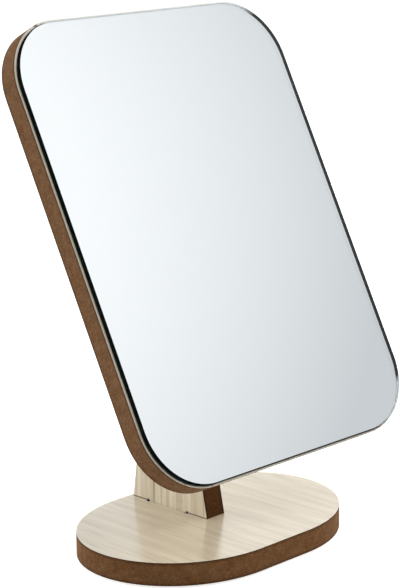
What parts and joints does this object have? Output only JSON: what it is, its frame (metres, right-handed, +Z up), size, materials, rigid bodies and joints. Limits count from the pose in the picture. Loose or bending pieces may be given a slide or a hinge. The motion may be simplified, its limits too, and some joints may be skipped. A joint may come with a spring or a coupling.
{
  "type": "tabletop mirror",
  "caption": "Rectangular round-cornered tabletop mirror on a wood-faced board, tilting on a friction pivot at the top of a tapered upright set in an oval base.",
  "frame": {"origin": "on the surface the mirror stands on, under the middle of the oval base", "axes": "+Z up, +Y to the rear so the glass faces -Y, X along the base and the pivot axis"},
  "size_m": [0.2, 0.1307, 0.2947],
  "materials": {
    "fibreboard": "raw sawn fibreboard edge, matt, fine fibre speckle",
    "facing": "pale wood-grain facing, satin",
    "glass": "clear polished mirror glass",
    "silvering": "silvered back with protective paint",
    "tape": "double-sided foam tape",
    "pad": "soft non-slip foam rubber",
    "screw": "zinc-plated wood screw",
    "bolt": "nickel-plated connector bolt",
    "washer": "plain nylon washer"
  },
  "bodies": {
    "stand": {"base_bottom_facing": "facing", "base_core": "fibreboard", "base_top_facing": "facing", "base_pad": "pad", "upright_left_facing": "facing", "upright_core": "fibreboard", "upright_right_facing": "facing"},
    "mirror_head": {"panel_back_facing": "facing", "panel_core": "fibreboard", "panel_front_facing": "facing", "mirror_tape": "tape", "mirror_silvering": "silvering", "mirror_glass": "glass", "ear_left_outer_facing": "facing", "ear_left_core": "fibreboard", "ear_left_inner_facing": "facing", "ear_right_inner_facing": "facing", "ear_right_core": "fibreboard", "ear_right_outer_facing": "facing", "ear_screws": "screw", "pivot_bolt": "bolt", "pivot_sleeve_nut": "bolt", "friction_washer_left": "washer", "friction_washer_right": "washer"}
  },
  "joints": [
    {"name": "mirror_tilt", "type": "hinge", "parent": "stand", "child": "mirror_head", "pos_m": [0, 0.0283, 0.1227], "axis": [-1, 0, 0], "range_deg": [-34, 63]}
  ]
}
